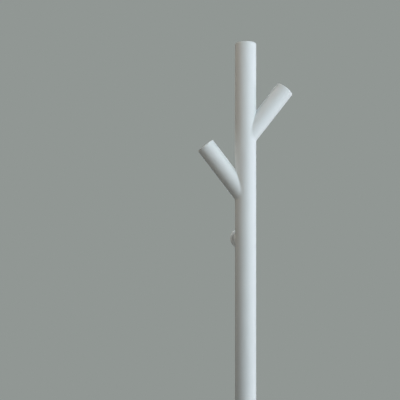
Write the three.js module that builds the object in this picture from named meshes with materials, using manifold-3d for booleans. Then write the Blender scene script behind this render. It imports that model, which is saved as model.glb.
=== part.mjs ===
// Tree-shaped coat rack: a steel tube that stands on a round base, carries two welded branches to
// hang coats on, and is held to the wall behind it by a spacer.
// Millimetres, +Z up. The origin is on the floor under the pole's axis. +Y points to the wall, and
// the branches lie in the plane of X and Z.

import * as THREE from "three";
import { mergeVertices } from "three/addons/utils/BufferGeometryUtils.js";
import Module from "manifold-3d";

const wasm = await Module();
wasm.setup();

// ---- Driving dimensions -----------------------------------------------------------------------

const STAND_HEIGHT = 1650; // floor to the top of the pole
const WALL_CLEARANCE = 100; // back of the pole to the wall

const POLE_DIAMETER = 48.3;
const BRANCH_DIAMETER = 42.4;
const SPACER_DIAMETER = 44.5;
const TUBE_WALL = 2;

const UPPER_BRANCH_LEAN = 38; // degrees from the pole's axis
const LOWER_BRANCH_LEAN = 37.4;
const UPPER_BRANCH_DROP = 219; // top of the pole down to the point where the axes meet
const LOWER_BRANCH_DROP = 353;
const UPPER_BRANCH_REACH = 146.5; // from that point to the end of the branch
const LOWER_BRANCH_REACH = 151.5;
const SPACER_DROP = 454; // top of the pole down to the spacer's axis

const CAP_THICKNESS = 4;
const CAP_EDGE_RADIUS = 1.5;
const CAP_SPIGOT_LENGTH = 8;
const WELD_HEIGHT = 3; // weld metal between a coped tube end and the pole, across the gap

const BASE_DIAMETER = 210;
const BASE_THICKNESS = 8;
const BASE_EDGE_RADIUS = 2;
const BASE_BOTTOM_CHAMFER = 1;
const MAT_THICKNESS = 2.5;
const MAT_INSET = 3; // edge of the base to edge of the mat
const FOOT_RING_THICKNESS = 1;
const SPIGOT_LENGTH = 14;
const SPIGOT_CHAMFER = 2;
const FOOT_PLUG_LENGTH = 25;

const BASE_SCREW = {
  headDiameter: 24,
  headHeight: 6,
  diameter: 12,
  length: 45,
  tipChamfer: 1.5,
  socketWidth: 8,
  socketDepth: 4,
};

const ROSETTE_RIM = 5.75; // how far the rosette stands out round the spacer
const ROSETTE_THICKNESS = 8;
const ROSETTE_EDGE_RADIUS = 2;
const O_RING_THICKNESS = 1.6;
const O_RING_FROM_WALL = 5.4;

const BOSS_LENGTH = 18;
const BOSS_GROOVE_DEPTH = 1.5;
const BOSS_SCREW_PITCH = 22;
const WALL_GAP = 0.5; // end of the spacer tube to the wall
const GRUB_FROM_WALL = 4.75;

const WALL_SCREW = {
  headDiameter: 9.5,
  headHeight: 2.6,
  diameter: 4.6,
  length: 60,
  tipLength: 6,
  recessSpan: 4.4,
  recessWidth: 1.1,
  recessDepth: 2,
};
const WALL_PLUG = { diameter: 8, length: 45, ribs: 8, ribDepth: 0.4, slotWidth: 1.2, slotStart: 12 };
const GRUB_SCREW = { diameter: 4, tipHeight: 1, socketWidth: 2, socketDepth: 1.6 };

const SEAM = 0.3; // gap left between two pieces that touch, fit in or are welded to each other

// ---- Values worked out from them --------------------------------------------------------------

const POLE_RADIUS = POLE_DIAMETER / 2;
const BASE_BOTTOM = MAT_THICKNESS;
const BASE_TOP = BASE_BOTTOM + BASE_THICKNESS;
const POLE_BOTTOM = BASE_TOP + FOOT_RING_THICKNESS;
const POLE_BORE = POLE_RADIUS - TUBE_WALL;
const WALL_DISTANCE = POLE_RADIUS + WALL_CLEARANCE; // pole's axis to the wall
const SPACER_RADIUS = SPACER_DIAMETER / 2;
const GRUB_Z = WALL_DISTANCE - GRUB_FROM_WALL; // along the spacer's own axis
const BOSS_RADIUS = SPACER_RADIUS - TUBE_WALL - SEAM;

const ROUND = 48; // sides of the tubes and discs
const FINE_ROUND = 24; // sides of the screws, plugs and holes
const PAST = 1; // how far a cutting tool runs past the face that it cuts

// ---- Materials --------------------------------------------------------------------------------

const material = (color, roughness, metalness) =>
  new THREE.MeshStandardMaterial({ color, roughness, metalness });

const WHITE_POWDER_COAT = material(0xe6e9ec, 0.6, 0);
const ZINC_PLATED_STEEL = material(0xb9bcc0, 0.35, 1);
const BRIGHT_STEEL = material(0xa8aaad, 0.4, 1);
const GREY_NYLON = material(0x9b9ea0, 0.55, 0);
const BLACK_RUBBER = material(0x1d1d1e, 0.85, 0);

// ---- Shapes -----------------------------------------------------------------------------------

// A body turned round Z. The profile is [radius, height] pairs that go up the outside.
function turned(profile, sides = ROUND) {
  const points = profile.map(([radius, height]) => new THREE.Vector2(radius, height));
  return new THREE.LatheGeometry(points, sides).rotateX(Math.PI / 2);
}

// Profile points of a rounded edge, from one angle to another in degrees.
function roundedEdge(radius, height, edgeRadius, fromAngle, toAngle, steps = 4) {
  return Array.from({ length: steps + 1 }, (_, i) => {
    const angle = THREE.MathUtils.degToRad(fromAngle + ((toAngle - fromAngle) * i) / steps);
    return [radius + edgeRadius * Math.cos(angle), height + edgeRadius * Math.sin(angle)];
  });
}

function ring(innerRadius, outerRadius, bottom, top, sides = ROUND) {
  return turned(
    [
      [innerRadius, bottom],
      [outerRadius, bottom],
      [outerRadius, top],
      [innerRadius, top],
      [innerRadius, bottom],
    ],
    sides,
  );
}

// A full cylinder round Z, centred on the origin.
function rod(radius, length, sides = ROUND) {
  return new THREE.CylinderGeometry(radius, radius, length, sides).rotateX(Math.PI / 2);
}

// A six-sided key socket from `bottom` up, round Z.
function hexagon(acrossFlats, bottom, top) {
  const cornerRadius = acrossFlats / 2 / Math.cos(Math.PI / 6);
  return rod(cornerRadius, top - bottom, 6).translate(0, 0, (bottom + top) / 2);
}

function solid(geometry) {
  const bare = geometry.index ? geometry.toNonIndexed() : geometry.clone();
  bare.deleteAttribute("normal");
  bare.deleteAttribute("uv");
  const merged = mergeVertices(bare, 1e-3);
  return new wasm.Manifold(
    new wasm.Mesh({
      numProp: 3,
      vertProperties: merged.attributes.position.array,
      triVerts: new Uint32Array(merged.index.array),
    }),
  );
}

function geometryOf(body) {
  const { vertProperties, triVerts } = body.getMesh();
  return new THREE.BufferGeometry()
    .setAttribute("position", new THREE.BufferAttribute(vertProperties, 3))
    .setIndex(new THREE.BufferAttribute(triVerts, 1));
}

function cut(geometry, ...tools) {
  return geometryOf(tools.reduce((body, tool) => body.subtract(solid(tool)), solid(geometry)));
}

function overlapOf(geometry, tool) {
  return geometryOf(solid(geometry).intersect(solid(tool)));
}

function piece(name, geometry, finish) {
  const mesh = new THREE.Mesh(geometry, finish);
  mesh.name = name;
  return mesh;
}

// ---- Tubes that are welded to the pole --------------------------------------------------------
// They are drawn along their own +Z from the point where the two axes meet.

// The pole, grown by `growth` all round, in the frame of a tube that is turned by `turn`.
function poleFrom(turn, growth) {
  const back = new THREE.Matrix4().makeRotationFromEuler(turn).invert();
  return rod(POLE_RADIUS + growth, 2 * STAND_HEIGHT).applyMatrix4(back);
}

// A tube whose end is coped to the pole, short of it by the weld.
function copedTube(radius, length, turn) {
  const tube = ring(radius - TUBE_WALL, radius, 0, length);
  return cut(tube, poleFrom(turn, WELD_HEIGHT + SEAM));
}

// The weld round the coped end: it goes on from the tube's wall down to the pole.
function copeWeld(radius, length, turn) {
  const wall = ring(radius - TUBE_WALL, radius, 0, length);
  return cut(overlapOf(wall, poleFrom(turn, WELD_HEIGHT)), poleFrom(turn, SEAM));
}

// A disc that closes a tube's end, with a spigot that centres it. Its shoulder is at height 0.
function endCap(tubeRadius) {
  const spigotRadius = tubeRadius - TUBE_WALL - SEAM;
  return turned([
    [0, -CAP_SPIGOT_LENGTH],
    [spigotRadius, -CAP_SPIGOT_LENGTH],
    [spigotRadius, 0],
    [tubeRadius, 0],
    ...roundedEdge(
      tubeRadius - CAP_EDGE_RADIUS,
      CAP_THICKNESS - CAP_EDGE_RADIUS,
      CAP_EDGE_RADIUS,
      0,
      90,
    ),
    [0, CAP_THICKNESS],
  ]);
}

// ---- Pole -------------------------------------------------------------------------------------

function makePole() {
  const pole = new THREE.Group();
  const capShoulder = STAND_HEIGHT - CAP_THICKNESS;
  const tube = ring(POLE_BORE, POLE_RADIUS, POLE_BOTTOM, capShoulder - SEAM);
  pole.add(piece("pole_tube", tube, WHITE_POWDER_COAT));

  const cap = piece("pole_top_cap", endCap(POLE_RADIUS), WHITE_POWDER_COAT);
  cap.position.z = capShoulder;
  pole.add(cap);

  const plugBottom = BASE_TOP + SPIGOT_LENGTH + SEAM;
  const plug = ring(
    BASE_SCREW.diameter / 2 + SEAM,
    POLE_BORE - SEAM,
    plugBottom,
    plugBottom + FOOT_PLUG_LENGTH,
  );
  pole.add(piece("pole_foot_plug", plug, BRIGHT_STEEL));

  const footRing = ring(POLE_BORE, POLE_RADIUS, BASE_TOP, POLE_BOTTOM);
  pole.add(piece("pole_foot_ring", footRing, GREY_NYLON));
  return pole;
}

// ---- Branches ---------------------------------------------------------------------------------

// `side` is 1 for a branch that leans to +X and -1 for one that leans to -X.
function makeBranch(name, side, lean, drop, reach) {
  const branch = new THREE.Group();
  branch.position.z = STAND_HEIGHT - drop;
  branch.rotation.y = side * THREE.MathUtils.degToRad(lean);

  const radius = BRANCH_DIAMETER / 2;
  const shoulder = reach - CAP_THICKNESS;
  const length = shoulder - SEAM;
  const { rotation } = branch;
  branch.add(piece(`${name}_tube`, copedTube(radius, length, rotation), WHITE_POWDER_COAT));
  branch.add(piece(`${name}_weld`, copeWeld(radius, length, rotation), WHITE_POWDER_COAT));
  const cap = piece(`${name}_cap`, endCap(radius), WHITE_POWDER_COAT);
  cap.position.z = shoulder;
  branch.add(cap);
  return branch;
}

// ---- Wall spacer ------------------------------------------------------------------------------
// Drawn along its own +Z, from the pole's axis to the wall. Its +Y points down once it is in place.

function countersunkBody({ headDiameter, headHeight, diameter, length, tipLength }, growth = 0) {
  return turned(
    [
      [0, 0],
      [headDiameter / 2 + growth, 0],
      [diameter / 2 + growth, headHeight],
      [diameter / 2 + growth, length - tipLength],
      [0, length],
    ],
    FINE_ROUND,
  );
}

function wallScrew() {
  const { recessSpan, recessWidth, recessDepth } = WALL_SCREW;
  const depth = recessDepth + PAST;
  const slots = [
    [recessSpan, recessWidth],
    [recessWidth, recessSpan],
  ].map(([x, y]) => new THREE.BoxGeometry(x, y, depth).translate(0, 0, recessDepth - depth / 2));
  return cut(countersunkBody(WALL_SCREW), ...slots);
}

// A nylon plug with saw-tooth ribs and a slot that lets it spread.
function wallPlug() {
  const { diameter, length, ribs, ribDepth, slotWidth, slotStart } = WALL_PLUG;
  const bore = WALL_SCREW.diameter / 2 + SEAM;
  const radius = diameter / 2;
  const pitch = (length - slotStart) / ribs;
  const teeth = Array.from({ length: ribs }, (_, i) => [
    [radius, slotStart + i * pitch],
    [radius - ribDepth, slotStart + (i + 0.9) * pitch],
  ]).flat();
  const body = turned(
    [[bore, 0], [radius, 0], ...teeth, [radius - ribDepth, length], [bore, length], [bore, 0]],
    FINE_ROUND,
  );
  const slotLength = length - slotStart;
  const slot = new THREE.BoxGeometry(slotWidth, 2 * diameter, slotLength);
  return cut(body, slot.translate(0, 0, slotStart + pitch / 2));
}

// The grub screw's own +Z runs from its socket to its point.
function grubScrew(length) {
  const { diameter, tipHeight, socketWidth, socketDepth } = GRUB_SCREW;
  const body = turned(
    [
      [0, 0],
      [diameter / 2, 0],
      [diameter / 2, length - tipHeight],
      [0, length],
    ],
    FINE_ROUND,
  );
  return cut(body, hexagon(socketWidth, -PAST, socketDepth));
}

function spacerTube(turn) {
  const tube = copedTube(SPACER_RADIUS, WALL_DISTANCE - WALL_GAP, turn);
  const grubHole = rod(GRUB_SCREW.diameter / 2 + SEAM, SPACER_RADIUS, FINE_ROUND)
    .rotateX(Math.PI / 2)
    .translate(0, SPACER_RADIUS, GRUB_Z);
  return cut(tube, grubHole);
}

// The boss is screwed to the wall, and the spacer tube slips over it.
function wallBoss() {
  const front = WALL_DISTANCE - BOSS_LENGTH;
  const body = turned([
    [0, front],
    [BOSS_RADIUS, front],
    [BOSS_RADIUS, GRUB_Z - GRUB_SCREW.diameter / 2 - SEAM],
    [BOSS_RADIUS - BOSS_GROOVE_DEPTH, GRUB_Z],
    [BOSS_RADIUS, GRUB_Z + GRUB_SCREW.diameter / 2 + SEAM],
    [BOSS_RADIUS, WALL_DISTANCE],
    [0, WALL_DISTANCE],
  ]);
  const holes = [-1, 1].map((side) =>
    countersunkBody(WALL_SCREW, SEAM).translate(0, (side * BOSS_SCREW_PITCH) / 2, front),
  );
  return cut(body, ...holes);
}

function rosette() {
  const inner = SPACER_RADIUS + SEAM;
  const outer = SPACER_RADIUS + ROSETTE_RIM;
  const front = WALL_DISTANCE - ROSETTE_THICKNESS;
  const grooveRadius = inner + O_RING_THICKNESS + SEAM;
  const grooveHalf = O_RING_THICKNESS / 2 + SEAM;
  const grooveMiddle = WALL_DISTANCE - O_RING_FROM_WALL;
  return turned([
    [inner, front],
    ...roundedEdge(
      outer - ROSETTE_EDGE_RADIUS,
      front + ROSETTE_EDGE_RADIUS,
      ROSETTE_EDGE_RADIUS,
      -90,
      0,
    ),
    [outer, WALL_DISTANCE],
    [inner, WALL_DISTANCE],
    [inner, grooveMiddle + grooveHalf],
    [grooveRadius, grooveMiddle + grooveHalf],
    [grooveRadius, grooveMiddle - grooveHalf],
    [inner, grooveMiddle - grooveHalf],
    [inner, front],
  ]);
}

function makeWallSpacer() {
  const spacer = new THREE.Group();
  spacer.position.z = STAND_HEIGHT - SPACER_DROP;
  spacer.rotation.x = -Math.PI / 2;

  const weld = copeWeld(SPACER_RADIUS, WALL_DISTANCE, spacer.rotation);
  spacer.add(piece("wall_spacer_tube", spacerTube(spacer.rotation), WHITE_POWDER_COAT));
  spacer.add(piece("wall_spacer_weld", weld, WHITE_POWDER_COAT));
  spacer.add(piece("wall_boss", wallBoss(), ZINC_PLATED_STEEL));
  spacer.add(piece("wall_rosette", rosette(), WHITE_POWDER_COAT));

  const oRingRadius = SPACER_RADIUS + SEAM + O_RING_THICKNESS / 2;
  const oRing = new THREE.TorusGeometry(oRingRadius, O_RING_THICKNESS / 2, 8, ROUND);
  oRing.translate(0, 0, WALL_DISTANCE - O_RING_FROM_WALL);
  spacer.add(piece("rosette_o_ring", oRing, BLACK_RUBBER));

  for (const [label, side] of [
    ["upper", -1],
    ["lower", 1],
  ]) {
    const height = (side * BOSS_SCREW_PITCH) / 2;
    const screw = piece(`wall_screw_${label}`, wallScrew(), ZINC_PLATED_STEEL);
    screw.position.set(0, height, WALL_DISTANCE - BOSS_LENGTH);
    const plug = piece(`wall_plug_${label}`, wallPlug(), GREY_NYLON);
    plug.position.set(0, height, WALL_DISTANCE + SEAM);
    spacer.add(screw, plug);
  }

  // The grub screw ends in the boss's groove, short of its bottom by the seam.
  const grubLength = TUBE_WALL + SEAM + BOSS_GROOVE_DEPTH - 2 * SEAM;
  const grub = piece("spacer_grub_screw", grubScrew(grubLength), ZINC_PLATED_STEEL);
  grub.rotation.x = Math.PI / 2;
  grub.position.set(0, SPACER_RADIUS, GRUB_Z);
  spacer.add(grub);
  return spacer;
}

// ---- Base -------------------------------------------------------------------------------------

// The countersink leaves a seam round the screw's head, and another that lifts the head off the mat.
function baseDisc() {
  const radius = BASE_DIAMETER / 2;
  const countersink = BASE_SCREW.headDiameter / 2 + 2 * SEAM;
  const hole = BASE_SCREW.diameter / 2 + SEAM;
  return turned([
    [countersink, BASE_BOTTOM],
    [radius - BASE_BOTTOM_CHAMFER, BASE_BOTTOM],
    [radius, BASE_BOTTOM + BASE_BOTTOM_CHAMFER],
    ...roundedEdge(radius - BASE_EDGE_RADIUS, BASE_TOP - BASE_EDGE_RADIUS, BASE_EDGE_RADIUS, 0, 90),
    [hole, BASE_TOP],
    [hole, BASE_BOTTOM + BASE_SCREW.headHeight + SEAM],
    [countersink, BASE_BOTTOM],
  ]);
}

function baseScrew() {
  const { headDiameter, headHeight, diameter, length, tipChamfer } = BASE_SCREW;
  const body = turned(
    [
      [0, 0],
      [headDiameter / 2, 0],
      [diameter / 2, headHeight],
      [diameter / 2, length - tipChamfer],
      [diameter / 2 - tipChamfer, length],
      [0, length],
    ],
    FINE_ROUND,
  );
  return cut(body, hexagon(BASE_SCREW.socketWidth, -PAST, BASE_SCREW.socketDepth));
}

function baseSpigot() {
  const outer = POLE_BORE - SEAM;
  const hole = BASE_SCREW.diameter / 2 + SEAM;
  const top = BASE_TOP + SPIGOT_LENGTH;
  return turned([
    [hole, BASE_TOP],
    [outer, BASE_TOP],
    [outer, top - SPIGOT_CHAMFER],
    [outer - SPIGOT_CHAMFER, top],
    [hole, top],
    [hole, BASE_TOP],
  ]);
}

function makeBase() {
  const base = new THREE.Group();
  const mat = rod(BASE_DIAMETER / 2 - MAT_INSET, MAT_THICKNESS);
  mat.translate(0, 0, MAT_THICKNESS / 2);
  base.add(piece("base_mat", mat, BLACK_RUBBER));
  base.add(piece("base_disc", baseDisc(), WHITE_POWDER_COAT));
  base.add(piece("base_spigot", baseSpigot(), BRIGHT_STEEL));

  const screw = piece("base_screw", baseScrew(), ZINC_PLATED_STEEL);
  screw.position.z = BASE_BOTTOM + SEAM;
  base.add(screw);
  return base;
}

// ---- The whole rack ---------------------------------------------------------------------------

const rack = new THREE.Group();
rack.add(makePole());
rack.add(makeBranch("upper_branch", 1, UPPER_BRANCH_LEAN, UPPER_BRANCH_DROP, UPPER_BRANCH_REACH));
rack.add(makeBranch("lower_branch", -1, LOWER_BRANCH_LEAN, LOWER_BRANCH_DROP, LOWER_BRANCH_REACH));
rack.add(makeWallSpacer());
rack.add(makeBase());

export default rack;
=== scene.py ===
# A coat rack of round steel tube, matte white: a pole with two leaning branches stands on a round base
# and is held to the wall behind it by a spacer that ends in a rosette.
import math

import bmesh
import bpy
from mathutils import Matrix, Vector


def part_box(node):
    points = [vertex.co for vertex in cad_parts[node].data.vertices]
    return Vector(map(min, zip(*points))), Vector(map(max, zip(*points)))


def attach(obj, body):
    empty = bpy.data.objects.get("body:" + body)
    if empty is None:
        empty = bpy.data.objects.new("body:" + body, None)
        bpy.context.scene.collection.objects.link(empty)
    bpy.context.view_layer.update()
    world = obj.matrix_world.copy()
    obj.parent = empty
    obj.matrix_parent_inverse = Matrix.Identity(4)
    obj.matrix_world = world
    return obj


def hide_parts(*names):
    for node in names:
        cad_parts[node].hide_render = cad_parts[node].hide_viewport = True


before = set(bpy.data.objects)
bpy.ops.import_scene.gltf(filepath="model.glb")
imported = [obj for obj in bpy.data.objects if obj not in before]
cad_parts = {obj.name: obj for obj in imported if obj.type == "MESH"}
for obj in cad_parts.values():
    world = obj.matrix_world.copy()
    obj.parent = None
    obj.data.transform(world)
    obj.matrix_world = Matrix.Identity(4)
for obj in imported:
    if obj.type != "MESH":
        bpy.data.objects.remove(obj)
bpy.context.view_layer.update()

# ---- Pole ---------------------------------------------------------------------------------------
# A length of 48.3 mm steel tube with a 2 mm wall, sawn square. Branches and spacer are welded to it,
# the welds are ground, and the whole rack is then blasted and coated with matte white polyester powder.

ROUND = 128  # sides of a tube
TUBE_WALL = 0.002
CAP_THICKNESS = 0.004
SAWN_EDGE = 0.0004  # radius of a sawn and deburred edge
pole_low, pole_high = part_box("pole_tube")
pole_radius = (pole_high.x - pole_low.x) / 2


def colour(hex_code):
    """A linear colour from an sRGB hex code."""
    channels = [int(hex_code[i : i + 2], 16) / 255 for i in (1, 3, 5)]
    linear = [c / 12.92 if c <= 0.04045 else ((c + 0.055) / 1.055) ** 2.4 for c in channels]
    return (*linear, 1)


def new_material(name):
    material = bpy.data.materials.new(name)
    material.use_nodes = True
    material.node_tree.nodes.clear()
    return material


def add_node(material, kind, values=None, links=None, **settings):
    """Adds a shader node with its settings, its socket values and the outputs linked to its sockets."""
    node = material.node_tree.nodes.new(kind)
    for name, value in settings.items():
        setattr(node, name, value)
    for socket, value in (values or {}).items():
        node.inputs[socket].default_value = value
    for socket, output in (links or {}).items():
        material.node_tree.links.new(output, node.inputs[socket])
    return node


def per_metre(millimetres):
    """The noise scale whose grain is this many millimetres wide."""
    return 1000 / millimetres


# Matte white polyester powder: it flows out into a faint orange peel with a finer grain on top, and
# a little more or less film changes its tone and gloss from place to place.
def make_white_powder():
    coat = new_material("matte white powder coat")
    place = add_node(coat, "ShaderNodeTexCoord").outputs["Object"]
    film = add_node(
        coat, "ShaderNodeTexNoise", {"Scale": per_metre(70), "Detail": 3}, {"Vector": place}
    )
    tone = add_node(
        coat,
        "ShaderNodeMix",
        {"A": colour("#e3e5e5"), "B": colour("#e9ebeb")},
        {"Factor": film.outputs["Fac"]},
        data_type="RGBA",
    )
    grain = add_node(
        coat, "ShaderNodeTexNoise", {"Scale": per_metre(0.5), "Detail": 2}, {"Vector": place}
    )
    peel = add_node(
        coat, "ShaderNodeTexNoise", {"Scale": per_metre(2.2), "Detail": 2}, {"Vector": place}
    )
    gloss = add_node(
        coat,
        "ShaderNodeMapRange",
        {"To Min": 0.52, "To Max": 0.66},
        {"Value": film.outputs["Fac"]},
    )
    waves = add_node(
        coat,
        "ShaderNodeBump",
        {"Strength": 0.5, "Distance": 0.00003},
        {"Height": peel.outputs["Fac"]},
    )
    texture = add_node(
        coat,
        "ShaderNodeBump",
        {"Strength": 0.5, "Distance": 0.00001},
        {"Height": grain.outputs["Fac"], "Normal": waves.outputs["Normal"]},
    )
    shader = add_node(
        coat,
        "ShaderNodeBsdfPrincipled",
        {},
        {
            "Base Color": tone.outputs["Result"],
            "Roughness": gloss.outputs["Result"],
            "Normal": texture.outputs["Normal"],
        },
    )
    add_node(coat, "ShaderNodeOutputMaterial", {}, {"Surface": shader.outputs["BSDF"]})
    return coat


white_powder = make_white_powder()


def turned(outline, rounds=(), closed=False):
    """A body turned round Z from (radius, height) points. Each round is (point, radius, segments)."""
    bm = bmesh.new()
    corners = [bm.verts.new((radius, 0, height)) for radius, height in outline]
    ends = corners[1:] + corners[:1] if closed else corners[1:]
    edges = [bm.edges.new(pair) for pair in zip(corners, ends)]
    bmesh.ops.spin(
        bm,
        geom=corners + edges,
        cent=(0, 0, 0),
        axis=(0, 0, 1),
        angle=2 * math.pi,
        steps=ROUND,
        use_merge=True,
    )
    bmesh.ops.remove_doubles(bm, verts=bm.verts, dist=1e-6)
    for (radius, height), edge_radius, segments in rounds:
        loop = [
            edge
            for edge in bm.edges
            if all(
                abs(corner.co.xy.length - radius) < 1e-6 and abs(corner.co.z - height) < 1e-6
                for corner in edge.verts
            )
        ]
        bmesh.ops.bevel(
            bm,
            geom=loop,
            offset=edge_radius,
            offset_type="OFFSET",
            segments=segments,
            profile=0.5,
            affect="EDGES",
            material=-1,
            clamp_overlap=True,
        )
    return bm


def finished(name, bm, material, nodes, turn=None, sharp=32):
    """Makes a piece of a bmesh, gives it its finish and lets it stand for CAD nodes."""
    bmesh.ops.remove_doubles(bm, verts=bm.verts, dist=1e-7)
    bmesh.ops.recalc_face_normals(bm, faces=bm.faces)
    if turn is not None:
        bmesh.ops.transform(bm, matrix=turn, verts=bm.verts)
    mesh = bpy.data.meshes.new(name)
    bm.to_mesh(mesh)
    bm.free()
    mesh.polygons.foreach_set("use_smooth", [True] * len(mesh.polygons))
    mesh.set_sharp_from_angle(angle=math.radians(sharp))
    mesh.materials.append(material)
    piece = bpy.data.objects.new(name, mesh)
    bpy.context.collection.objects.link(piece)
    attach(piece, "root")
    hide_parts(*nodes)
    return piece


# The cap sits flush on the tube with no gap: the seam is filled and ground before coating.
cap_low, cap_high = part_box("pole_top_cap")
pole_shoulder = cap_high.z - CAP_THICKNESS
pole_bore = pole_radius - TUBE_WALL
pole = turned(
    [
        (pole_bore, pole_low.z),
        (pole_radius, pole_low.z),
        (pole_radius, pole_low.z + 3 * SAWN_EDGE),
        (pole_radius, pole_shoulder),
        (pole_bore, pole_shoulder),
    ],
    [((pole_radius, pole_low.z), SAWN_EDGE, 3)],
    closed=True,
)
finished("pole", pole, white_powder, ["pole_tube"])

# ---- End caps -----------------------------------------------------------------------------------
# Turned steel discs with a spigot that centres them in the tube. Each is welded in, and its outer
# edge is broken with a small radius so that the powder holds on it and a coat doesn't catch.

EDGE_RADIUS = 0.0015
EDGE_MARGIN = 0.0004  # flat left beside a rounded edge
SEAM = 0.0003


def end_cap(radius, spigot_length):
    """A cap whose shoulder is at height 0."""
    spigot = radius - TUBE_WALL - SEAM
    return turned(
        [
            (0, -spigot_length),
            (spigot, -spigot_length),
            (spigot, 0),
            (radius, 0),
            (radius, CAP_THICKNESS - EDGE_RADIUS - EDGE_MARGIN),
            (radius, CAP_THICKNESS),
            (radius - EDGE_RADIUS - EDGE_MARGIN, CAP_THICKNESS),
            (radius / 2, CAP_THICKNESS),
            (0, CAP_THICKNESS),
        ],
        [((radius, CAP_THICKNESS), EDGE_RADIUS, 8)],
    )


spigot_length = cap_high.z - cap_low.z - CAP_THICKNESS
finished(
    "pole_cap",
    end_cap(pole_radius, spigot_length),
    white_powder,
    ["pole_top_cap"],
    Matrix.Translation((0, 0, pole_shoulder)),
)

# ---- Branches -----------------------------------------------------------------------------------
# Lengths of 42.4 mm steel tube, coped to the pole at their root and welded all round. The weld is
# ground to a small hollow fillet, and the open end is closed with a cap like the pole's.

BRANCH_FILLET = 0.0018  # how far the ground weld runs out over the pole and up the tube
WELD_HEIGHT = 0.0033
WELD_STEPS = 10
WELD_SHARP = 20  # degrees: the weld's hidden faces meet its outside at less than 30


def reach_to_pole(point, turn, gap):
    """How far a line along a tube's own Z runs from the pole's axis to the pole grown by `gap`."""
    axis = turn.to_3x3().inverted() @ Vector((0, 0, 1))
    across = Vector((point.x, point.y, 0))
    across -= across.dot(axis) * axis
    along = Vector((0, 0, 1)) - axis.z * axis
    middle = across.dot(along)
    rest = middle**2 - along.length_squared * (across.length_squared - (pole_radius + gap) ** 2)
    return (math.sqrt(rest) - middle) / along.length_squared


def tube_of_rings(turn, rings):
    """A closed tube wall from rings of (radius, gap to the pole, height along the tube).

    Each ring has either the gap or the height, and None for the other."""
    bm = bmesh.new()
    bmesh.ops.create_circle(bm, cap_ends=False, segments=ROUND, radius=rings[0][0])
    loop = list(bm.edges)
    corners = list(bm.verts)
    for i, (radius, gap, height) in enumerate(rings + rings[:1]):
        if i:
            grown = bmesh.ops.extrude_edge_only(bm, edges=loop)["geom"]
            corners = [part for part in grown if isinstance(part, bmesh.types.BMVert)]
            loop = [
                part
                for part in grown
                if isinstance(part, bmesh.types.BMEdge) and all(c in corners for c in part.verts)
            ]
        for corner in corners:
            corner.co.xy = corner.co.xy.normalized() * radius
            corner.co.z = height if gap is None else reach_to_pole(corner.co, turn, gap)
    return bm


def coped_tube(radius, end, turn):
    bore = radius - TUBE_WALL
    return tube_of_rings(
        turn,
        [
            (bore, WELD_HEIGHT, None),
            (radius, WELD_HEIGHT, None),
            (radius, None, end),
            (bore, None, end),
        ],
    )


def ground_weld(radius, turn, fillet):
    """The weld from the pole to the coped end, with its hollow fillet on the outside."""
    bore = radius - TUBE_WALL
    angles = [step * math.pi / 2 / WELD_STEPS for step in range(WELD_STEPS + 1)]
    hollow = [
        (radius + fillet * (1 - math.sin(angle)), fillet * (1 - math.cos(angle)), None)
        for angle in angles
    ]
    return tube_of_rings(
        turn, [(bore, 0, None), *hollow, (radius, WELD_HEIGHT, None), (bore, WELD_HEIGHT, None)]
    )


BRANCH_RADIUS = 0.0212
# Name, lean in degrees, drop from the pole's top to where the axes cross, and reach from there.
BRANCHES = [
    ("upper_branch", 38, 0.219, 0.1465),
    ("lower_branch", -37.4, 0.353, 0.1515),
]

for name, lean, drop, reach in BRANCHES:
    place = Matrix.Translation((0, 0, cap_high.z - drop))
    turn = place @ Matrix.Rotation(math.radians(lean), 4, "Y")
    shoulder = reach - CAP_THICKNESS
    finished(
        name,
        coped_tube(BRANCH_RADIUS, shoulder, turn),
        white_powder,
        [f"{name}_tube"],
        turn,
    )
    finished(
        f"{name}_ground_weld",
        ground_weld(BRANCH_RADIUS, turn, BRANCH_FILLET),
        white_powder,
        [f"{name}_weld"],
        turn,
        WELD_SHARP,
    )
    finished(
        f"{name}_end_cap",
        end_cap(BRANCH_RADIUS, spigot_length),
        white_powder,
        [f"{name}_cap"],
        turn @ Matrix.Translation((0, 0, shoulder)),
    )

# ---- Wall spacer --------------------------------------------------------------------------------
# A short steel tube, coped and welded square to the back of the pole like the branches. Its open end
# slips over a boss on the wall and is locked there by a grub screw from below.

SPACER_FILLET = 0.0009  # smaller, since the spacer is nearly as thick as the pole
spacer_low, spacer_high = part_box("wall_spacer_tube")
spacer_radius = (spacer_high.x - spacer_low.x) / 2
spacer_z = (spacer_low.z + spacer_high.z) / 2
spacer_turn = Matrix.Translation((0, 0, spacer_z)) @ Matrix.Rotation(-math.pi / 2, 4, "X")
grub_low, grub_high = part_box("spacer_grub_screw")
grub_radius = (grub_high.x - grub_low.x) / 2
grub_y = (grub_low.y + grub_high.y) / 2


def less(body, tool):
    """Cuts a tool's shape out of a body. Both are bmeshes, and the result is a new one."""
    solids = []
    for bm in (body, tool):
        bmesh.ops.recalc_face_normals(bm, faces=bm.faces)
        mesh = bpy.data.meshes.new("solid")
        bm.to_mesh(mesh)
        bm.free()
        solids.append(bpy.data.objects.new("solid", mesh))
        bpy.context.collection.objects.link(solids[-1])
    cut = solids[0].modifiers.new("cut", "BOOLEAN")
    cut.operation = "DIFFERENCE"
    cut.solver = "EXACT"
    cut.object = solids[1]
    shown = solids[0].evaluated_get(bpy.context.evaluated_depsgraph_get())
    result = bmesh.new()
    result.from_mesh(shown.to_mesh())
    for solid in solids:
        bpy.data.meshes.remove(solid.data)
    return result


def rod(radius, length, sides, turn):
    """A round or many-sided bar, centred before it is turned into place."""
    bm = bmesh.new()
    bmesh.ops.create_cone(
        bm,
        cap_ends=True,
        cap_tris=False,
        segments=sides,
        radius1=radius,
        radius2=radius,
        depth=length,
        matrix=turn,
    )
    return bm


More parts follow.
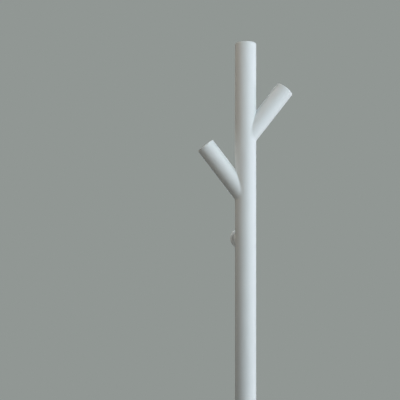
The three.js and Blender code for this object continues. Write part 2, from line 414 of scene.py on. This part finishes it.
# Below the spacer is its own +Y, so the drill comes from there.
drill = Matrix.Translation((0, spacer_radius, grub_y)) @ Matrix.Rotation(math.pi / 2, 4, "X")
finished(
    "wall_spacer",
    less(
        coped_tube(spacer_radius, spacer_high.y, spacer_turn),
        rod(grub_radius + SEAM, spacer_radius, 48, drill),
    ),
    white_powder,
    ["wall_spacer_tube"],
    spacer_turn,
)
finished(
    "wall_spacer_ground_weld",
    ground_weld(spacer_radius, spacer_turn, SPACER_FILLET),
    white_powder,
    ["wall_spacer_weld"],
    spacer_turn,
    WELD_SHARP,
)

# ---- Wall boss ----------------------------------------------------------------------------------
# A steel stub turned from bar and zinc-plated, screwed to the wall through two countersunk holes. The
# spacer tube slips over it, and the grub screw bites into its groove.

BOSS_CHAMFER = 0.0006
GROOVE_DEPTH = 0.0015
SCREW_RADIUS = 0.0023
SCREW_HEAD_HEIGHT = 0.0026
SCREW_HEAD_RIM = 0.0003
SCREW_TIP = 0.006
SCREW_POINT_RADIUS = 0.0002
WALL_FIXINGS = ("upper", "lower")
boss_low, boss_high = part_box("wall_boss")
boss_radius = (boss_high.x - boss_low.x) / 2
wall_y = boss_high.y


def lathe_marks(material, centre, feed):
    """A height that changes only with the radius and along the axis, as a lathe tool leaves it.

    The centre is a Mapping node that puts the turned axis on Z, and the feed is in millimetres."""
    place = add_node(material, "ShaderNodeSeparateXYZ", {}, {"Vector": centre.outputs["Vector"]})
    flat = add_node(
        material,
        "ShaderNodeCombineXYZ",
        {},
        {"X": place.outputs["X"], "Y": place.outputs["Y"]},
    )
    radius = add_node(
        material,
        "ShaderNodeVectorMath",
        {},
        {0: flat.outputs["Vector"]},
        operation="LENGTH",
    )
    unrolled = add_node(
        material,
        "ShaderNodeCombineXYZ",
        {},
        {"X": radius.outputs["Value"], "Z": place.outputs["Z"]},
    )
    return add_node(
        material,
        "ShaderNodeTexNoise",
        {"Scale": per_metre(feed), "Detail": 2},
        {"Vector": unrolled.outputs["Vector"]},
    )


def make_metal(name, tones, roughness, axis, turned_round, feed, spangle):
    """Bare or plated steel: cloudy between two tones, with lathe marks round an axis.

    The axis point and the rotation put the turned axis on Z. Feed and spangle are in millimetres."""
    metal = new_material(name)
    place = add_node(metal, "ShaderNodeTexCoord").outputs["Object"]
    centre = add_node(
        metal,
        "ShaderNodeMapping",
        {"Location": axis, "Rotation": turned_round},
        {"Vector": place},
        vector_type="TEXTURE",
    )
    cloud = add_node(
        metal, "ShaderNodeTexNoise", {"Scale": per_metre(spangle), "Detail": 4}, {"Vector": place}
    )
    marks = lathe_marks(metal, centre, feed)
    tone = add_node(
        metal,
        "ShaderNodeMix",
        {"A": colour(tones[0]), "B": colour(tones[1])},
        {"Factor": cloud.outputs["Fac"]},
        data_type="RGBA",
    )
    gloss = add_node(
        metal,
        "ShaderNodeMapRange",
        {"From Min": 0.3, "From Max": 0.7, "To Min": roughness[0], "To Max": roughness[1]},
        {"Value": cloud.outputs["Fac"]},
    )
    grooves = add_node(
        metal,
        "ShaderNodeBump",
        {"Strength": 0.6, "Distance": 0.00002},
        {"Height": marks.outputs["Fac"]},
    )
    shader = add_node(
        metal,
        "ShaderNodeBsdfPrincipled",
        {"Metallic": 1},
        {
            "Base Color": tone.outputs["Result"],
            "Roughness": gloss.outputs["Result"],
            "Normal": grooves.outputs["Normal"],
        },
    )
    add_node(metal, "ShaderNodeOutputMaterial", {}, {"Surface": shader.outputs["BSDF"]})
    return metal


# Zinc-plated steel: bright and faintly blue from the passivation, a little cloudy, and the feed marks
# of the lathe show through the thin plating. The real feed of 0.1 mm is drawn at 0.5 mm to show.
zinc_plate = make_metal(
    "zinc-plated steel",
    ("#bcc1c6", "#cacdcf"),
    (0.3, 0.38),
    (0, 0, spacer_z),
    (math.pi / 2, 0, 0),
    0.5,
    4,
)


def countersunk(head_radius, radius, length, growth=0):
    """A countersunk hole or shank from height 0 up, with its point at the end."""
    return turned(
        [
            (0, 0),
            (head_radius + growth, 0),
            (head_radius + growth, SCREW_HEAD_RIM),
            (radius + growth, SCREW_HEAD_HEIGHT),
            (radius + growth, length - SCREW_TIP),
            (SCREW_POINT_RADIUS, length),
            (0, length),
        ]
    )


boss = turned(
    [
        (0, boss_low.y),
        (boss_radius - BOSS_CHAMFER, boss_low.y),
        (boss_radius, boss_low.y + BOSS_CHAMFER),
        (boss_radius, grub_y - grub_radius - SEAM),
        (boss_radius - GROOVE_DEPTH, grub_y),
        (boss_radius, grub_y + grub_radius + SEAM),
        (boss_radius, wall_y - BOSS_CHAMFER),
        (boss_radius - BOSS_CHAMFER, wall_y),
        (0, wall_y),
    ]
)
for side in WALL_FIXINGS:
    screw_low, screw_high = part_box(f"wall_screw_{side}")
    head_radius = (screw_high.x - screw_low.x) / 2
    hole = countersunk(head_radius, SCREW_RADIUS, screw_high.y - screw_low.y, SEAM)
    place = (0, spacer_z - (screw_low.z + screw_high.z) / 2, boss_low.y)
    bmesh.ops.translate(hole, vec=place, verts=hole.verts)
    boss = less(boss, hole)
finished("wall_boss_turned", boss, zinc_plate, ["wall_boss"], spacer_turn)

# ---- Wall screws --------------------------------------------------------------------------------
# Two countersunk chipboard screws of zinc-plated steel, with a cross recess in the head and a coarse
# rolled thread that runs out over the point.

SCREW_CORE = 0.0016
SCREW_PITCH = 0.0024
PLAIN_SHARE = 0.36  # the part of the length that has no thread
THREAD_RUNOUT = 0.001  # what an end has no thread on
THREAD_STEPS = 36  # in a turn
ROOT_SHARE = 0.9  # a thread's root lies a little inside the core
FLANK_SHARE = 0.32  # half the width of a thread, as a part of its pitch
RECESS_SPAN = 0.0044
RECESS_WIDTH = 0.0011
RECESS_DEPTH = 0.002


def block(size, centre):
    """A square bar to cut with."""
    bm = bmesh.new()
    place = Matrix.Translation(centre) @ Matrix.Diagonal((*size, 1))
    bmesh.ops.create_cube(bm, size=1, matrix=place)
    return bm


def add_thread(bm, core, crest, pitch, bottom, top, point=0):
    """Winds a thread on a shank. It rises out of the core at both ends and follows a point."""
    turns = (top - bottom) / pitch
    root = core * ROOT_SHARE
    flank = pitch * FLANK_SHARE
    corners = [
        bm.verts.new((radius, 0, bottom + height))
        for radius, height in ((root, -flank), (crest, 0), (root, flank))
    ]
    tooth = bm.faces.new(corners)
    bmesh.ops.spin(
        bm,
        geom=[tooth, *tooth.edges, *corners],
        cent=(0, 0, 0),
        axis=(0, 0, 1),
        dvec=(0, 0, pitch / THREAD_STEPS),
        angle=2 * math.pi * turns,
        steps=round(THREAD_STEPS * turns),
    )
    bmesh.ops.recalc_face_normals(bm, faces=bm.faces)
    for corner in bm.verts:
        radius = corner.co.xy.length
        if radius > core + 1e-5 and bottom - flank <= corner.co.z <= top + flank:
            rise = min(1, max(0, (corner.co.z - bottom) / pitch), max(0, (top - corner.co.z) / pitch))
            lift = (radius - root) * rise
        elif abs(radius - root) < 1e-5:
            lift = 0
        else:
            continue
        narrowing = min(1, (top - corner.co.z) / point) if point else 1
        corner.co.xy *= (root * max(narrowing, 0.05) + lift) / radius


def wall_screw(head_radius, length):
    screw = countersunk(head_radius, SCREW_CORE, length)
    for size in ((RECESS_SPAN, RECESS_WIDTH), (RECESS_WIDTH, RECESS_SPAN)):
        screw = less(screw, block((*size, 2 * RECESS_DEPTH), (0, 0, 0)))
    bottom = length * PLAIN_SHARE
    top = length - THREAD_RUNOUT
    add_thread(screw, SCREW_CORE, SCREW_RADIUS, SCREW_PITCH, bottom, top, SCREW_TIP)
    return screw


for side in WALL_FIXINGS:
    screw_low, screw_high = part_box(f"wall_screw_{side}")
    height = spacer_z - (screw_low.z + screw_high.z) / 2
    finished(
        f"{side}_wall_screw",
        wall_screw((screw_high.x - screw_low.x) / 2, screw_high.y - screw_low.y),
        zinc_plate,
        [f"wall_screw_{side}"],
        spacer_turn @ Matrix.Translation((0, height, boss_low.y)),
    )

# ---- Wall plugs ---------------------------------------------------------------------------------
# Two moulded nylon plugs that stand behind the boss in the drilled wall. Saw-tooth ribs grip the hole,
# a slot lets the two legs spread, and two fins keep the plug from turning.

PLUG_RIBS = 8
RIB_DEPTH = 0.0005
RIB_CREST = 0.12  # where a rib's crest ends and its slope ends, as parts of the rib pitch
RIB_FOOT = 0.95
PLUG_COLLAR = 0.0012  # height of the full-width rim at the mouth
PLUG_COLLAR_STEP = 0.0004
PLUG_NECK = 0.012
PLUG_TIP = (0.0012, 0.0008)  # inwards, along
PLUG_SLOT = 0.0012
FIN = (0.0006, 0.0009, 0.008)  # how far it stands out, thickness, length


# Moulded nylon: an even grey that is a little milky, satin from the spark-eroded mould, with faint
# flow marks along it.
def make_grey_nylon():
    nylon = new_material("moulded grey nylon")
    place = add_node(nylon, "ShaderNodeTexCoord").outputs["Object"]
    flow = add_node(
        nylon,
        "ShaderNodeTexNoise",
        {"Scale": per_metre(9), "Detail": 3, "Distortion": 0.6},
        {"Vector": place},
    )
    grain = add_node(
        nylon, "ShaderNodeTexNoise", {"Scale": per_metre(0.4), "Detail": 2}, {"Vector": place}
    )
    tone = add_node(
        nylon,
        "ShaderNodeMix",
        {"A": colour("#96999b"), "B": colour("#a6a9aa")},
        {"Factor": flow.outputs["Fac"]},
        data_type="RGBA",
    )
    gloss = add_node(
        nylon, "ShaderNodeMapRange", {"To Min": 0.42, "To Max": 0.6}, {"Value": flow.outputs["Fac"]}
    )
    eroded = add_node(
        nylon,
        "ShaderNodeBump",
        {"Strength": 0.5, "Distance": 0.00002},
        {"Height": grain.outputs["Fac"]},
    )
    shader = add_node(
        nylon,
        "ShaderNodeBsdfPrincipled",
        {"IOR": 1.53, "Subsurface Weight": 0.05, "Subsurface Scale": 0.001},
        {
            "Base Color": tone.outputs["Result"],
            "Roughness": gloss.outputs["Result"],
            "Normal": eroded.outputs["Normal"],
        },
    )
    add_node(nylon, "ShaderNodeOutputMaterial", {}, {"Surface": shader.outputs["BSDF"]})
    return nylon


grey_nylon = make_grey_nylon()


def wall_plug(radius, length):
    bore = SCREW_RADIUS + SEAM
    neck_radius = radius - RIB_DEPTH / 2
    pitch = (length - PLUG_NECK) / PLUG_RIBS
    teeth = [
        point
        for rib in range(PLUG_RIBS)
        for point in (
            (radius, PLUG_NECK + rib * pitch),
            (radius, PLUG_NECK + (rib + RIB_CREST) * pitch),
            (radius - RIB_DEPTH, PLUG_NECK + (rib + RIB_FOOT) * pitch),
        )
    ]
    plug = turned(
        [
            (bore, 0),
            (radius, 0),
            (radius, PLUG_COLLAR),
            (neck_radius, PLUG_COLLAR + PLUG_COLLAR_STEP),
            (neck_radius, PLUG_NECK - 1.5 * PLUG_COLLAR_STEP),
            *teeth,
            (radius - RIB_DEPTH, length - PLUG_TIP[1]),
            (radius - PLUG_TIP[0], length),
            (bore, length),
        ],
        [((radius, 0), PLUG_COLLAR_STEP / 2, 2)],
        closed=True,
    )
    slot = length - PLUG_NECK
    middle = PLUG_NECK + pitch / 2 + slot / 2
    plug = less(plug, block((PLUG_SLOT, 4 * radius, slot), (0, 0, middle)))
    for side in (-1, 1):
        place = Matrix.Translation((side * radius, 0, PLUG_NECK / 2))
        size = Matrix.Diagonal((2 * FIN[0], FIN[1], FIN[2], 1))
        fin = bmesh.ops.create_cube(plug, size=1, matrix=place @ size)["verts"]
        tips = [v for v in fin if v.co.z > PLUG_NECK / 2 and v.co.x * side > radius]
        bmesh.ops.translate(plug, vec=(-side * FIN[0], 0, 0), verts=tips)
    return plug


for side in WALL_FIXINGS:
    plug_low, plug_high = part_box(f"wall_plug_{side}")
    height = spacer_z - (plug_low.z + plug_high.z) / 2
    finished(
        f"{side}_wall_plug",
        wall_plug((plug_high.x - plug_low.x) / 2, plug_high.y - plug_low.y),
        grey_nylon,
        [f"wall_plug_{side}"],
        spacer_turn @ Matrix.Translation((0, height, plug_low.y)),
    )

# ---- Grub screw ---------------------------------------------------------------------------------
# A zinc-plated M4 socket screw without a head. It goes through the spacer tube from below, and its
# cone point seats in the groove of the boss.

GRUB_TIP = 0.001
GRUB_CHAMFER = 0.0002
GRUB_PITCH = 0.0007
GRUB_THREAD_DEPTH = GRUB_PITCH * 0.55
GRUB_SOCKET = (0.002, 0.0016)  # across flats, depth


def key_socket(across_flats, depth):
    """A six-sided bar to cut a key socket of this depth from height 0 up."""
    return rod(across_flats / 2 / math.cos(math.pi / 6), 2 * depth, 6, Matrix())


def grub_screw(length):
    core = grub_radius - GRUB_THREAD_DEPTH
    screw = turned(
        [
            (0, 0),
            (core - GRUB_CHAMFER, 0),
            (core, GRUB_CHAMFER),
            (core, length - GRUB_TIP),
            (0, length),
        ]
    )
    screw = less(screw, key_socket(*GRUB_SOCKET))
    add_thread(screw, core, grub_radius, GRUB_PITCH, 1.5 * GRUB_CHAMFER, length - GRUB_TIP)
    return screw


finished(
    "grub_screw",
    grub_screw(grub_high.z - grub_low.z),
    zinc_plate,
    ["spacer_grub_screw"],
    Matrix.Translation((0, grub_y, grub_low.z)),
)

# ---- Wall rosette -------------------------------------------------------------------------------
# A turned ring that slides over the spacer tube and covers the boss and the grub screw. Its front edge
# is rounded, and a rubber O-ring in a groove inside holds it against the wall.

ROSETTE_EDGE = 0.002
ROSETTE_BREAK = 0.0003  # radius of the small broken edges
rosette_low, rosette_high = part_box("wall_rosette")
rosette_radius = (rosette_high.x - rosette_low.x) / 2
rosette_bore = spacer_radius + SEAM
o_ring_low, o_ring_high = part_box("rosette_o_ring")
o_ring_thickness = o_ring_high.y - o_ring_low.y
groove_radius = rosette_bore + o_ring_thickness + SEAM
rosette = turned(
    [
        (rosette_bore, rosette_low.y),
        (rosette_bore + 2 * ROSETTE_BREAK, rosette_low.y),
        (rosette_radius - ROSETTE_EDGE - EDGE_MARGIN, rosette_low.y),
        (rosette_radius, rosette_low.y),
        (rosette_radius, rosette_low.y + ROSETTE_EDGE + EDGE_MARGIN),
        (rosette_radius, wall_y - 2 * ROSETTE_BREAK),
        (rosette_radius, wall_y),
        (rosette_bore, wall_y),
        (rosette_bore, o_ring_high.y + SEAM),
        (groove_radius, o_ring_high.y + SEAM),
        (groove_radius, o_ring_low.y - SEAM),
        (rosette_bore, o_ring_low.y - SEAM),
    ],
    [
        ((rosette_radius, rosette_low.y), ROSETTE_EDGE, 8),
        ((rosette_bore, rosette_low.y), ROSETTE_BREAK, 3),
        ((rosette_radius, wall_y), ROSETTE_BREAK, 3),
    ],
    closed=True,
)
finished("rosette", rosette, white_powder, ["wall_rosette"], spacer_turn)


# Black rubber: nearly black and dull, a little greyer where talc or dust stays on it, with the fine
# grain of the mould.
def make_black_rubber():
    rubber = new_material("black rubber")
    place = add_node(rubber, "ShaderNodeTexCoord").outputs["Object"]
    dust = add_node(
        rubber, "ShaderNodeTexNoise", {"Scale": per_metre(18), "Detail": 5}, {"Vector": place}
    )
    settled = add_node(
        rubber,
        "ShaderNodeMapRange",
        {"From Min": 0.45, "From Max": 0.75},
        {"Value": dust.outputs["Fac"]},
    )
    grain = add_node(
        rubber, "ShaderNodeTexNoise", {"Scale": per_metre(0.6), "Detail": 3}, {"Vector": place}
    )
    tone = add_node(
        rubber,
        "ShaderNodeMix",
        {"A": colour("#1a1a1b"), "B": colour("#2e2e2d")},
        {"Factor": settled.outputs["Result"]},
        data_type="RGBA",
    )
    gloss = add_node(
        rubber,
        "ShaderNodeMapRange",
        {"To Min": 0.68, "To Max": 0.9},
        {"Value": settled.outputs["Result"]},
    )
    moulded = add_node(
        rubber,
        "ShaderNodeBump",
        {"Strength": 0.6, "Distance": 0.00004},
        {"Height": grain.outputs["Fac"]},
    )
    shader = add_node(
        rubber,
        "ShaderNodeBsdfPrincipled",
        {"IOR": 1.52, "Specular IOR Level": 0.4},
        {
            "Base Color": tone.outputs["Result"],
            "Roughness": gloss.outputs["Result"],
            "Normal": moulded.outputs["Normal"],
        },
    )
    add_node(rubber, "ShaderNodeOutputMaterial", {}, {"Surface": shader.outputs["BSDF"]})
    return rubber


black_rubber = make_black_rubber()
O_RING_SIDES = 20
section_radius = o_ring_thickness / 2
section_angles = [2 * math.pi * side / O_RING_SIDES for side in range(O_RING_SIDES)]
o_ring = turned(
    [
        (
            rosette_bore + section_radius * (1 + math.cos(angle)),
            o_ring_low.y + section_radius * (1 + math.sin(angle)),
        )
        for angle in section_angles
    ],
    closed=True,
)
finished("o_ring", o_ring, black_rubber, ["rosette_o_ring"], spacer_turn)

# ---- Base ---------------------------------------------------------------------------------------
# A disc of 8 mm steel plate, turned round and with its top edge rounded, coated like the pole. A hole
# with a countersink from below takes the screw that draws the pole down.

base_low, base_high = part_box("base_disc")
base_radius = (base_high.x - base_low.x) / 2
base_screw_low, base_screw_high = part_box("base_screw")
screw_head_radius = (base_screw_high.x - base_screw_low.x) / 2
BASE_EDGE = 0.002
BASE_LOWER_EDGE = 0.001
BASE_SCREW_RADIUS = 0.006
BASE_HEAD_HEIGHT = 0.006
screw_hole = BASE_SCREW_RADIUS + SEAM
countersink = screw_head_radius + 2 * SEAM
base = turned(
    [
        (countersink, base_low.z),
        (base_radius - BASE_LOWER_EDGE - EDGE_MARGIN, base_low.z),
        (base_radius, base_low.z),
        (base_radius, base_low.z + BASE_LOWER_EDGE + EDGE_MARGIN),
        (base_radius, base_high.z - BASE_EDGE - EDGE_MARGIN),
        (base_radius, base_high.z),
        (base_radius - BASE_EDGE - EDGE_MARGIN, base_high.z),
        (base_radius * 0.6, base_high.z),
        (screw_hole, base_high.z),
        (screw_hole, base_low.z + BASE_HEAD_HEIGHT + SEAM),
    ],
    [
        ((base_radius, base_high.z), BASE_EDGE, 8),
        ((base_radius, base_low.z), BASE_LOWER_EDGE, 4),
    ],
    closed=True,
)
finished("base", base, white_powder, ["base_disc"])

# ---- Foot of the pole ---------------------------------------------------------------------------
# A turned steel spigot is welded on the base and centres the pole, and a threaded plug of the same
# steel is welded inside the pole for the screw. A thin nylon ring keeps coat off coat between them.

SPIGOT_CHAMFER = 0.002
PLUG_CHAMFER = 0.0008
RING_EDGE = 0.00025

# Bright turned steel: grey and satin with a thin film of oil, and rings from the lathe on every face.
# The real feed of 0.15 mm is drawn at 0.6 mm to show.
bright_steel = make_metal(
    "bright turned steel",
    ("#97999b", "#b3b3b1"),
    (0.28, 0.48),
    (0, 0, 0),
    (0, 0, 0),
    0.6,
    14,
)

spigot_low, spigot_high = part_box("base_spigot")
spigot_radius = (spigot_high.x - spigot_low.x) / 2
spigot = turned(
    [
        (screw_hole, spigot_low.z),
        (spigot_radius, spigot_low.z),
        (spigot_radius, spigot_high.z - SPIGOT_CHAMFER),
        (spigot_radius - SPIGOT_CHAMFER, spigot_high.z),
        (screw_hole + PLUG_CHAMFER, spigot_high.z),
        (screw_hole, spigot_high.z - PLUG_CHAMFER),
    ],
    closed=True,
)
finished("spigot", spigot, bright_steel, ["base_spigot"])

plug_low, plug_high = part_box("pole_foot_plug")
foot_plug = turned(
    [
        (screw_hole, plug_low.z + PLUG_CHAMFER),
        (screw_hole + PLUG_CHAMFER, plug_low.z),
        (spigot_radius - PLUG_CHAMFER, plug_low.z),
        (spigot_radius, plug_low.z + PLUG_CHAMFER),
        (spigot_radius, plug_high.z - PLUG_CHAMFER),
        (spigot_radius - PLUG_CHAMFER, plug_high.z),
        (screw_hole, plug_high.z),
    ],
    closed=True,
)
finished("foot_plug", foot_plug, bright_steel, ["pole_foot_plug"])

ring_low, ring_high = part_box("pole_foot_ring")
ring_radius = pole_radius - 0.0001  # a hair inside the pole, so that it doesn't stand out
foot_ring = turned(
    [
        (pole_bore, ring_low.z),
        (ring_radius, ring_low.z),
        (ring_radius, ring_high.z),
        (pole_bore, ring_high.z),
    ],
    [((ring_radius, height), RING_EDGE, 3) for height in (ring_low.z, ring_high.z)],
    closed=True,
)
finished("foot_ring", foot_ring, grey_nylon, ["pole_foot_ring"])

# ---- Base screw ---------------------------------------------------------------------------------
# A zinc-plated M12 countersunk screw with a hexagon socket. It comes up through the base and the
# spigot into the plug, and holds the rack together at its foot.

BASE_SCREW_PITCH = 0.00175
BASE_THREAD_DEPTH = BASE_SCREW_PITCH * 0.6
BASE_HEAD_CHAMFER = 0.0004
BASE_SHANK = 0.002  # plain and full width, between the head and the thread
BASE_SCREW_TIP = (0.0012, 0.0015)  # inwards, along
BASE_SOCKET = (0.008, 0.004)  # across flats, depth


def base_screw(length):
    core = BASE_SCREW_RADIUS - BASE_THREAD_DEPTH
    shank_end = BASE_HEAD_HEIGHT + BASE_SHANK
    screw = turned(
        [
            (0, 0),
            (screw_head_radius - BASE_HEAD_CHAMFER, 0),
            (screw_head_radius, BASE_HEAD_CHAMFER),
            (BASE_SCREW_RADIUS, BASE_HEAD_HEIGHT),
            (BASE_SCREW_RADIUS, shank_end),
            (core, shank_end + THREAD_RUNOUT),
            (core, length - BASE_SCREW_TIP[1]),
            (core - BASE_SCREW_TIP[0], length),
            (0, length),
        ]
    )
    screw = less(screw, key_socket(*BASE_SOCKET))
    bottom = shank_end + 1.5 * THREAD_RUNOUT
    top = length - THREAD_RUNOUT
    add_thread(screw, core, BASE_SCREW_RADIUS, BASE_SCREW_PITCH, bottom, top)
    return screw


finished(
    "foot_screw",
    base_screw(base_screw_high.z - base_screw_low.z),
    zinc_plate,
    ["base_screw"],
    Matrix.Translation((0, 0, base_screw_low.z)),
)

# ---- Base mat -----------------------------------------------------------------------------------
# A disc of black rubber glued under the base, which covers the screw and keeps the rack from sliding.
# Rings are moulded into its underside.

MAT_RING_PITCH = 0.005
MAT_RING_DEPTH = 0.0006
MAT_RING_SLOPE = 0.0004
MAT_RING_WIDTH = 0.002
MAT_EDGE = 0.0005
mat_low, mat_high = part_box("base_mat")
mat_radius = (mat_high.x - mat_low.x) / 2
mat_rings = [
    point
    for ring in range(2, int(mat_radius / MAT_RING_PITCH) - 1)
    for point in (
        (ring * MAT_RING_PITCH, mat_low.z),
        (ring * MAT_RING_PITCH + MAT_RING_SLOPE, mat_low.z + MAT_RING_DEPTH),
        (ring * MAT_RING_PITCH + MAT_RING_WIDTH - MAT_RING_SLOPE, mat_low.z + MAT_RING_DEPTH),
        (ring * MAT_RING_PITCH + MAT_RING_WIDTH, mat_low.z),
    )
]
mat = turned(
    [
        (0, mat_low.z),
        *mat_rings,
        (mat_radius, mat_low.z),
        (mat_radius, mat_high.z),
        (mat_radius - 4 * MAT_EDGE, mat_high.z),
        (0, mat_high.z),
    ],
    [((mat_radius, mat_low.z), MAT_EDGE, 4), ((mat_radius, mat_high.z), MAT_EDGE / 2, 2)],
)
finished("rubber_mat", mat, black_rubber, ["base_mat"])

# ---- Camera, light and floor --------------------------------------------------------------------
# The camera looks level at the upper half from a little to the left. A wide soft window of light
# stands at the right, and a pale floor lies under the base.

UPPER_HALF = 0.35  # drop from the pole's top to the middle of what the camera sees
camera_data = bpy.data.cameras.new("camera")
camera_data.lens = 50
camera_data.sensor_width = 36
camera = bpy.data.objects.new("camera", camera_data)
camera.location = (-0.1043, -1.272, cap_high.z - 0.3575)
camera.rotation_euler = (math.pi / 2, 0, 0)
bpy.context.collection.objects.link(camera)
bpy.context.scene.camera = camera

FLOOR_RADIUS = 2.1
FLOOR_FADE_START = 0.5
FLOOR_FADE_END = FLOOR_RADIUS * 0.97


# Sealed floor: pale grey, dull and a little cloudy. It fades out all round, so that no edge shows.
def make_floor_paint():
    paint = new_material("pale sealed floor")
    place = add_node(paint, "ShaderNodeTexCoord").outputs["Object"]
    cloud = add_node(
        paint, "ShaderNodeTexNoise", {"Scale": per_metre(260), "Detail": 6}, {"Vector": place}
    )
    tone = add_node(
        paint,
        "ShaderNodeMix",
        {"A": colour("#c5c7c2"), "B": colour("#cfd0cb")},
        {"Factor": cloud.outputs["Fac"]},
        data_type="RGBA",
    )
    shader = add_node(
        paint,
        "ShaderNodeBsdfPrincipled",
        {"Roughness": 0.75},
        {"Base Color": tone.outputs["Result"]},
    )
    distance = add_node(paint, "ShaderNodeVectorMath", {}, {0: place}, operation="LENGTH")
    fade = add_node(
        paint,
        "ShaderNodeMapRange",
        {"From Min": FLOOR_FADE_START, "From Max": FLOOR_FADE_END},
        {"Value": distance.outputs["Value"]},
        interpolation_type="SMOOTHERSTEP",
    )
    clear = add_node(paint, "ShaderNodeBsdfTransparent")
    faded = add_node(
        paint,
        "ShaderNodeMixShader",
        {},
        {0: fade.outputs["Result"], 1: shader.outputs["BSDF"], 2: clear.outputs["BSDF"]},
    )
    add_node(paint, "ShaderNodeOutputMaterial", {}, {"Surface": faded.outputs["Shader"]})
    return paint


disc = bmesh.new()
bmesh.ops.create_circle(disc, cap_ends=True, segments=96, radius=FLOOR_RADIUS)
floor_mesh = bpy.data.meshes.new("floor")
disc.to_mesh(floor_mesh)
disc.free()
floor_mesh.materials.append(make_floor_paint())
floor = bpy.data.objects.new("floor", floor_mesh)
bpy.context.collection.objects.link(floor)

# The room behind is a plain grey-green, and the light that it sends back comes mostly from above.
ROOM_STRENGTH = 0.284
world = bpy.data.worlds.new("studio")
world.use_nodes = True
world.node_tree.nodes.clear()
outwards = add_node(world, "ShaderNodeTexCoord").outputs["Generated"]
rise = add_node(world, "ShaderNodeSeparateXYZ", {}, {"Vector": outwards}).outputs["Z"]
bounce = add_node(
    world,
    "ShaderNodeMath",
    {1: ROOM_STRENGTH},
    {0: rise},
    operation="MULTIPLY",
    use_clamp=True,
)
room_light = add_node(
    world,
    "ShaderNodeBackground",
    {"Color": colour("#d1f3ff")},
    {"Strength": bounce.outputs["Value"]},
)
room_seen = add_node(world, "ShaderNodeBackground", {"Color": colour("#919794"), "Strength": 1})
room = add_node(
    world,
    "ShaderNodeMixShader",
    {},
    {
        0: add_node(world, "ShaderNodeLightPath").outputs["Is Camera Ray"],
        1: room_light.outputs["Background"],
        2: room_seen.outputs["Background"],
    },
)
add_node(world, "ShaderNodeOutputWorld", {}, {"Surface": room.outputs["Shader"]})
bpy.context.scene.world = world
bpy.context.scene.view_settings.view_transform = "Standard"


def soft_light(name, place, size, watts, tint, spread=180, drop=UPPER_HALF):
    """A soft rectangular light that points at the pole, at a drop below its top.

    A spread under 180 degrees is a grid in front of it, which keeps it off the floor."""
    lamp_data = bpy.data.lights.new(name, "AREA")
    lamp_data.shape = "RECTANGLE"
    lamp_data.size, lamp_data.size_y = size
    lamp_data.energy = watts
    lamp_data.color = colour(tint)[:3]
    lamp_data.spread = math.radians(spread)
    lamp = bpy.data.objects.new(name, lamp_data)
    lamp.location = place
    aim = Vector((0, 0, cap_high.z - drop)) - Vector(place)
    lamp.rotation_euler = aim.to_track_quat("-Z", "Y").to_euler()
    bpy.context.collection.objects.link(lamp)


BRANCH_DROP = 0.2  # about where the branches are
soft_light("window", (1.7, -1.7, 2.0), (1.5, 1.8), 30, "#ecf9ff")
soft_light("window_upper_pane", (1.7, -1.7, 2.2), (1.5, 1.5), 2.5, "#ecf9ff", 70, BRANCH_DROP)
soft_light("side_window", (2.3, 0.2, 1.8), (1.6, 2.0), 12, "#f7ecff")
soft_light("low_right", (2.1, -0.8, 0.7), (1.4, 1.2), 16.3, "#f9fdff")
soft_light("ceiling_left", (-1.6, -0.6, 3.0), (1.5, 1.5), 3.6, "#ffe7e1")
soft_light("left_lamp", (-1.6, -0.6, 2.6), (1.0, 1.0), 1.07, "#ffefce", 60, BRANCH_DROP)
soft_light("front_left", (-1.6, -1.6, 2.4), (1.0, 1.0), 0.56, "#fff3f3", 60, BRANCH_DROP)
soft_light("behind", (0.3, 2.6, 1.9), (1.6, 2.0), 40, "#ffffff")
